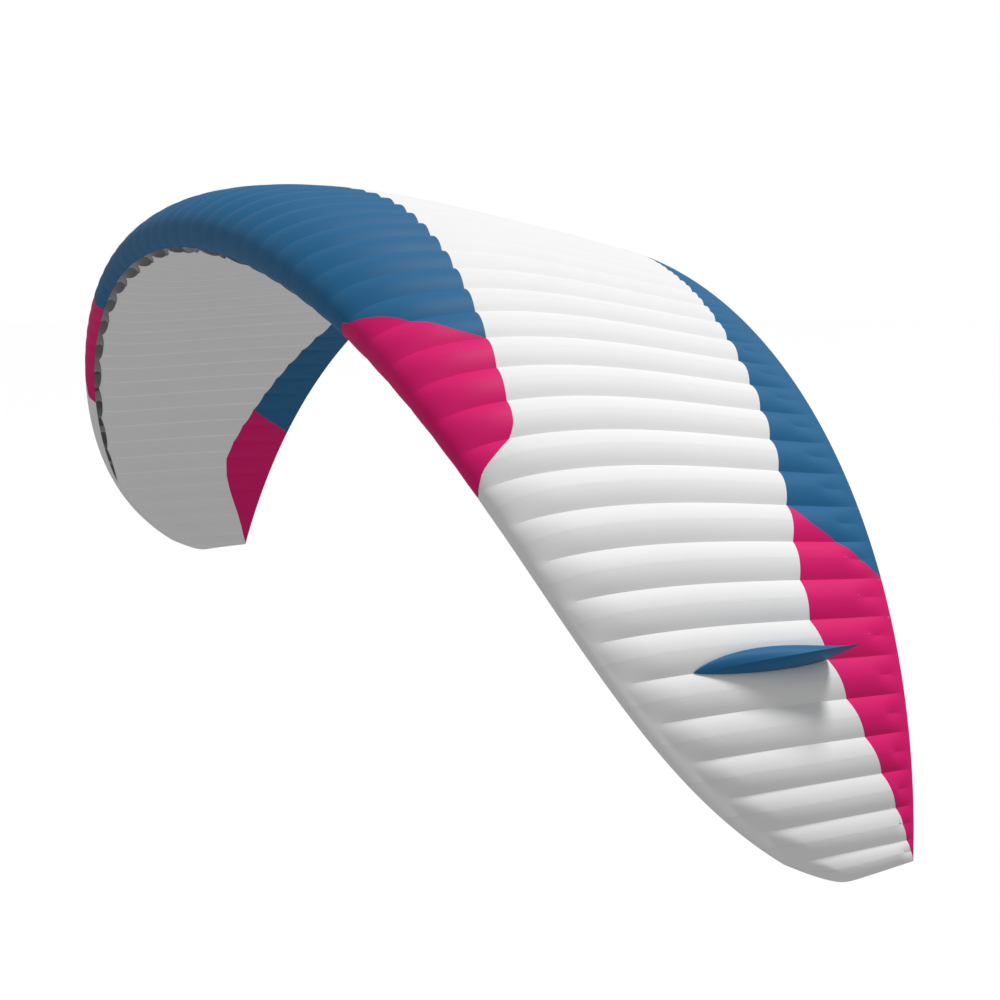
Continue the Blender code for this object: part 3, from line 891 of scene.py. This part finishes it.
def both_panels(name, outline, seams, count, material):
    """One panel on each half; +X is the wing's left."""
    for side, word in ((1, "left"), (-1, "right")):
        turned = sorted(side * seam for seam in seams)
        panel(f"{name}_{word}", outline, turned, count, material)


# %% [markdown]
# ## The upper sail
# The upper sail is sewn from a coloured band that wraps round the nose down to the
# intakes, a white panel from tip to tip, and coloured bands on the tail. The band round
# the nose bends fastest, so it gets the most rows, and some are kept for the stretch
# below the nose, where the blue ends at a step.

# %% Nose bands
BLUE_NOSE_ROWS, ROWS_BELOW_NOSE = 48, 14
MAGENTA_NOSE_ROWS = 36
BLUE_END = NOSE_BAND_BORDER[-1][0]
drops = [side * seam for seam in BORDER_DROP for side in (-1, 1)]
seams = stations(-BLUE_END, BLUE_END, drops)
panel(
    "nose_blue", blue_nose, seams, BLUE_NOSE_ROWS, blue_cloth,
    under=ROWS_BELOW_NOSE,
)
seams = stations(NOSE_BAND_BORDER[1][0] - 1, NOSE_BAND_REAR[-1][0])
seams = [BORDER_DROP[1]] + [seam for seam in seams if seam > BORDER_DROP[1]]
both_panels(
    "nose_magenta", magenta_nose, seams, MAGENTA_NOSE_ROWS, magenta_cloth,
)

# %% [markdown]
# The white panel is one sheet from tip to tip, behind the coloured band and, past its
# end, right from the lip. It stands for three solids, which are parted at seam 16.5 on
# each side. The sheet could be cut there too, but the real cloth has no joint there.

# %% White panel
TOP_ROWS = 50
seams = stations(-TIP_SEAM, TIP_SEAM)
nodes = ["top_white_middle", "top_white_left", "top_white_right"]
panel("top_white", white_top, seams, TOP_ROWS, white_cloth, nodes)

# %% [markdown]
# The bands on the tail are blue inboard and magenta outboard. Short extra ribs halve
# their cells. Those creases could be cut into each band by hand, but the billow holds
# them already, so the bands are made as all other panels are.

# %% Tail bands of the upper sail
BLUE_TAIL_ROWS, MAGENTA_TAIL_ROWS = 14, 16
seams = stations(UPPER_TAIL_FRONT[0][0], UPPER_TAIL_BORDER[-1][0])
both_panels(
    "top_tail_blue", blue_upper_tail, seams, BLUE_TAIL_ROWS, blue_cloth,
)
seams = stations(UPPER_TAIL_BORDER[0][0], TIP_SEAM)
both_panels(
    "top_tail_magenta", magenta_upper_tail, seams, MAGENTA_TAIL_ROWS, magenta_cloth,
)

# %% [markdown]
# ## The lower sail
# The lower sail is one white sheet. Its front edge is cut in crescents between the
# load ribs, and those are the air intakes. The cells are flatter than above. The seams
# are painted as pale lines: partly the denser doubled cloth, partly a painted highlight.

# %% Lower sail
LOW_ROWS = 44
seams = stations(-TIP_SEAM, TIP_SEAM)
panel("low_white", white_low, seams, LOW_ROWS, white_low_cloth)

# %% [markdown]
# The lower sail has coloured bands along its tail as well. They meet those above at the
# trailing edge, where both sails are sewn into one seam, so they close up there.

# %% Tail bands of the lower sail
seams = stations(LOWER_TAIL_FRONT[0][0], LOWER_TAIL_BORDER[-1][0])
both_panels(
    "low_tail_blue", blue_lower_tail, seams, BLUE_TAIL_ROWS, blue_cloth,
)
seams = stations(LOWER_TAIL_BORDER[0][0], TIP_SEAM)
both_panels(
    "low_tail_magenta", magenta_lower_tail, seams, MAGENTA_TAIL_ROWS, magenta_cloth,
)

# %% [markdown]
# ## Ribs
# A rib stands in nearly every seam and shapes the wing. The load ribs carry the
# lines and reach down between two intakes. The ribs between them stop a little above
# the intake, so that one mouth feeds two cells. Each rib is a thin grid from the lower
# to the upper sail. Real ribs also have round ports, which don't show from outside.

# %% One rib
RIB_START, RIB_END = 0.0004, 0.93  # chord shares
RIB_INSET = 0.0035
RIB_STATIONS = 46
RIB_ROWS = 8
MOUTH_RECESS = 0.02  # how far a middle rib's edge is drawn in at the intake


def rib(name, seam, load):
    """A rib in its seam. load: it reaches the lip and replaces a CAD rib."""
    shares = spread(RIB_START, RIB_END, RIB_STATIONS)
    mouth_front, mouth_rear = abs(lip(seam)), abs(intake_edge(seam))
    inside_mouth = (shares - mouth_front) / max(mouth_rear - mouth_front, 1e-6)
    recess = np.zeros_like(shares)
    if not load and abs(seam) < LAST_LOAD_SEAM:
        recess = MOUTH_RECESS * np.sin(np.pi * np.clip(inside_mouth, 0.0, 1.0))
    top = wing_point(seam, shares, -RIB_INSET)
    low = wing_point(seam, -shares, -RIB_INSET - recess)
    step = np.linspace(0, 1, RIB_ROWS + 1)[None, :, None]
    points = low[:, None] * (1 - step) + top[:, None] * step
    height = np.linalg.norm(top - low, axis=-1)
    along = shares[:, None] * chord_length(seam) * np.ones(RIB_ROWS + 1)
    pairs = np.stack([along, height[:, None] * step[0, :, 0]], axis=-1).reshape(-1, 2)
    lean = float(arch_at(seam)[3])
    half = np.array([math.cos(lean), 0.0, -math.sin(lean)]) * CLOTH / 4
    piece = make_mesh(
        name,
        np.concatenate([(points - half).reshape(-1, 3), (points + half).reshape(-1, 3)]),
        closed_faces(RIB_STATIONS + 1, RIB_ROWS + 1),
        {"cloth": np.tile(pairs, (2, 1))},
        [load_rib_cloth if load else rib_cloth],
    )
    area = grid_area(points)
    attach(piece, "root")
    return piece


print("a rib runs back to chord share", RIB_END)

# %% [markdown]
# A loop puts in the ribs on both sides. Each load rib stands for a solid of the frame,
# while the ribs between have none. One rib could be drawn many times over, but no two
# on the same side have the same chord and thickness.

# %% All ribs
LAST_RIB_CELL = 26  # the last cells are too thin for a rib
ribs_made = 0
for cell in range(LAST_RIB_CELL):
    seam = cell + 0.5
    index = (seam - FIRST_LOAD_SEAM) / CELLS_PER_INTAKE + 1
    load = index >= 1 and index == int(index) and seam <= LAST_LOAD_SEAM
    for side, word in ((1, "left"), (-1, "right")):
        if load:
            piece = rib(f"cloth_rib_{word}_{int(index):02d}", side * seam, True)
            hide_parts(f"rib_{word}_{int(index):02d}")
        else:
            rib(f"middle_rib_{word}_{cell:02d}", side * seam, False)
        ribs_made += 1
print(ribs_made, "ribs")

# %% [markdown]
# ## Fins
# A small blown-up fin stands on the upper sail near each tip. It is sewn from two
# gores that swell most about halfway and meet in an edge along its top. The swelling
# could be simulated, but two powers give it and keep its foot exactly on the sail.

# %% Sizes of a fin
FIN_SEAM = 22.5
FIN_FRONT, FIN_REAR = 0.232, 0.712
FIN_HEIGHT = 0.222  # at its rear; its crest rises evenly from the front
FIN_SWEEP = 0.02
FIN_LEAN = 2.0
FIN_INBOARD, FIN_OUTBOARD = 0.062, 0.029  # how far its sides bulge from its seam
FIN_SWELL = (0.84, 0.89)  # powers of the bulge towards its front and its rear
FIN_FULLNESS = 2.8  # power of a side's curve from foot to crest
FIN_FOOT = 0.003  # how far its foot stands off the sail
FIN_STATIONS, FIN_LAYERS = 40, 14
FIN_CROWDING = 1.4  # power that crowds the stations towards its front
print("a fin runs over chord shares", FIN_FRONT, "to", FIN_REAR, "at seam", FIN_SEAM)

# %% [markdown]
# The grid of a fin goes up its inboard side and down its outboard side. Points that
# fall together at its front and at its rear are then merged and its foot is closed, so
# that it is one closed form. Two separate gores would need a seam along the crest.

# %% One fin on each side
MERGE_DISTANCE = 1e-5


def fin(side, word):
    lean = float(arch_at(side * FIN_SEAM)[3]) + math.radians(side * FIN_LEAN)
    cell = float(cell_width(FIN_SEAM + 0.25))
    t = (np.linspace(0, 1, FIN_STATIONS + 1) ** FIN_CROWDING)[:, None]
    layer = np.linspace(-1, 1, 2 * FIN_LAYERS + 1)[None, :]
    rise = 1 - np.abs(layer)
    height = FIN_HEIGHT * t * rise
    widest = FIN_SWELL[0] / sum(FIN_SWELL)
    swell = (t / widest) ** FIN_SWELL[0] * ((1 - t) / (1 - widest)) ** FIN_SWELL[1]
    bulge = np.where(layer > 0, FIN_OUTBOARD, -FIN_INBOARD)
    half = bulge * swell * (1 - rise**FIN_FULLNESS)
    share = FIN_FRONT + (FIN_REAR - FIN_FRONT) * t + 0 * layer
    foot = wing_point(side * (FIN_SEAM + half / cell), share, FACE + FIN_FOOT)
    up = np.array([math.sin(lean), 0.0, math.cos(lean)])
    back = np.array([0.0, 1.0, 0.0]) * FIN_SWEEP / FIN_HEIGHT
    points = foot + height[..., None] * (up + back)
    length = t * (FIN_REAR - FIN_FRONT) * float(chord_length(FIN_SEAM)) + 0 * layer
    pairs = np.stack([length, height], axis=-1)
    cells = np.stack([0.5 + 0 * length, share], axis=-1)
    faces = grid_faces(FIN_STATIONS + 1, 2 * FIN_LAYERS + 1)
    if side < 0:
        faces = faces[:, ::-1]
    piece = make_mesh(
        "cloth_fin_" + word,
        points.reshape(-1, 3),
        faces,
        {"cloth": pairs.reshape(-1, 2), "cells": cells.reshape(-1, 2)},
        [blue_cloth],
    )
    body = bmesh.new()
    body.from_mesh(piece.data)
    bmesh.ops.remove_doubles(body, verts=body.verts, dist=MERGE_DISTANCE)
    bmesh.ops.holes_fill(body, edges=body.edges, sides=0)
    bmesh.ops.recalc_face_normals(body, faces=body.faces)
    body.to_mesh(piece.data)
    body.free()
    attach(piece, "root")
    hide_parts("fin_" + word)
    return piece


for side, word in ((1, "left"), (-1, "right")):
    print(fin(side, word).name, "stands", FIN_HEIGHT, "m high")

# %% [markdown]
# ## Binding tape on the intakes
# The cut edge of each intake is bound with a narrow tape folded over it, so that it
# doesn't fray. A curve with a bevel could run along the edge, but it would be round;
# this ribbon follows the edge, lies flat on both faces and wraps round the cut.

# %% Tape along an edge
TAPE_WIDTH = 0.008
TAPE_PROUD = 0.0005
TAPE_STRIPS = 20  # stations across a cell


def edge_tape(name, edge, way, first, last, material, slot):
    """way: +1 where the cloth lies on the nose side of the edge, else -1."""
    count = round((last - first) * TAPE_STRIPS)
    seams = first + np.arange(count + 1) / TAPE_STRIPS
    rows = []
    for seam in seams:
        chord = chord_length(seam)
        front = edge(seam)
        inner, outer = front + way * TAPE_WIDTH / chord, front - way * TAPE_PROUD / chord
        low, high = FACE - CLOTH - TAPE_PROUD, FACE + TAPE_PROUD
        places = ((inner, high), (outer, high), (outer, low), (inner, low))
        rows.append([wing_point(seam, share, offset) for share, offset in places])
    points = np.array(rows)
    piece = make_mesh(
        name,
        points.reshape(-1, 3),
        grid_faces(len(seams), 4),
        {"cloth": np.zeros((len(seams) * 4, 2)), "cells": np.full((len(seams) * 4, 2), 0.5)},
        [material],
    )
    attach(piece, "root")
    area = grid_area(points)


print("tape unfolds to", round(2 * TAPE_WIDTH + CLOTH + 2 * TAPE_PROUD, 4), "m")

# %% [markdown]
# One long tape binds the crescents of the lower sail. The lip above has a tape in the
# colour of each panel that it ends, so it passes for the panel's own folded edge. A
# single tape in one colour would be less work, but would show as a line.

# %% All tapes
EDGE_END = LAST_LOAD_SEAM
BLUE_LIP = BORDER_DROP[0]
MAGENTA_LIP_END = NOSE_BAND_REAR[-1][0]
edge_tape("tape_intakes", intake_edge, -1, -EDGE_END, EDGE_END, white_low_cloth, "white_cloth")
edge_tape("tape_lip_blue", lip, 1, -BLUE_LIP, BLUE_LIP, blue_cloth, "blue_cloth")
for side, word in ((1, "left"), (-1, "right")):
    ends = sorted((side * BORDER_DROP[1], side * MAGENTA_LIP_END))
    edge_tape(f"tape_lip_magenta_{word}", lip, 1, *ends, magenta_cloth, "magenta_cloth")
    ends = sorted((side * MAGENTA_LIP_END, side * EDGE_END))
    edge_tape(f"tape_lip_white_{word}", lip, 1, *ends, white_cloth, "white_cloth")
print("intakes bound with tape", TAPE_WIDTH, "m wide on each face")

# %% [markdown]
# ## Camera
# The camera stands low in front of the wing's left tip and looks along the arch. Its
# place and its angles were worked out from the photograph's edges and seams. It could
# be aimed by a constraint, but four plain turns say exactly where it looks.

# %% Camera
CAMERA_PLACE = (9.489, -3.569, -0.011)
CAMERA_TURN = math.radians(62.37)
CAMERA_TILT = math.radians(-8.15)
CAMERA_ROLL = math.radians(0.79)
LENS = 59.65  # mm
SENSOR_WIDTH = 36.0  # mm
NEAREST, FURTHEST = 0.05, 1000.0

camera = bpy.data.objects.new("camera", bpy.data.cameras.new("camera"))
bpy.context.scene.collection.objects.link(camera)
camera.data.lens = LENS
camera.data.sensor_width = SENSOR_WIDTH
camera.data.clip_start, camera.data.clip_end = NEAREST, FURTHEST
camera.matrix_world = (
    Matrix.Translation(CAMERA_PLACE)
    @ Matrix.Rotation(CAMERA_TURN, 4, "Z")
    @ Matrix.Rotation(math.pi / 2 + CAMERA_TILT, 4, "X")
    @ Matrix.Rotation(CAMERA_ROLL, 4, "Z")
)
bpy.context.scene.camera = camera
print("camera at", CAMERA_PLACE, "with a", LENS, "mm lens")

# %% [markdown]
# ## Light
# A broad sun above and a little behind the wing lights the tops of the cells and casts
# the soft shadow of the fin. An area lamp could do it too, but its light would fall off
# over a span of nine metres.

# %% Sun
SUN_STRENGTH = 2.5
SUN_SPREAD = math.radians(16)
SUN_TILT = (math.radians(-22.6), math.radians(1.5), 0.0)

sun = bpy.data.objects.new("sun", bpy.data.lights.new("sun", "SUN"))
bpy.context.scene.collection.objects.link(sun)
sun.data.energy = SUN_STRENGTH
sun.data.angle = SUN_SPREAD
sun.rotation_euler = SUN_TILT
print("sun spread over", round(math.degrees(SUN_SPREAD), 1), "degrees")

# %% [markdown]
# An even sky fills the shade. It is dimmer as a light than it looks to the camera,
# because the backdrop is meant to be pure white. A backdrop plane would need light of
# its own and would show from behind; a switch on the kind of ray does without it.

# %% Sky
SKY_IN_SHADE = 0.40
SKY_SEEN = 1.0
PURE_WHITE = (1.0, 1.0, 1.0, 1.0)

sky = bpy.data.worlds.new("sky")
bpy.context.scene.world = sky
sky.use_nodes = True
background = sky.node_tree.nodes["Background"]
background.inputs["Color"].default_value = PURE_WHITE
background.inputs["Strength"].default_value = SKY_IN_SHADE
seen = sky.node_tree.nodes.new("ShaderNodeBackground")
seen.inputs["Color"].default_value = PURE_WHITE
seen.inputs["Strength"].default_value = SKY_SEEN
rays = sky.node_tree.nodes.new("ShaderNodeLightPath")
either = sky.node_tree.nodes.new("ShaderNodeMixShader")
links = sky.node_tree.links
links.new(rays.outputs["Is Camera Ray"], either.inputs[0])
links.new(background.outputs[0], either.inputs[1])
links.new(seen.outputs[0], either.inputs[2])
links.new(either.outputs[0], sky.node_tree.nodes["World Output"].inputs["Surface"])
bpy.context.scene.view_settings.view_transform = "Standard"
print("the sky gives", SKY_IN_SHADE, "and shows as", SKY_SEEN)

# %% [markdown]
# ## Floor
# The wing flies, so the pale floor lies far below it, where its shadow falls outside
# the picture. The floor is kept out of the bounced light, which leaves the lower sail
# in the even shade that a wing has high over the ground.

# %% Floor
FLOOR_DEPTH = 12.0
FLOOR_HALF = 300.0
FLOOR_COLOUR = (0.9, 0.9, 0.9, 1.0)
pale = Finish("pale floor")
pale.fill(pale.shader, {"Base Color": FLOOR_COLOUR, "Roughness": 0.9})
corners = [(x, y, -FLOOR_DEPTH) for x, y in ((-1, -1), (1, -1), (1, 1), (-1, 1))]
corners = [(x * FLOOR_HALF, y * FLOOR_HALF, z) for x, y, z in corners]
floor = make_mesh("floor", corners, [(0, 1, 2, 3)], {}, [pale.material])
floor.visible_diffuse = False
floor.visible_glossy = False
print("floor", FLOOR_DEPTH, "m below the origin")
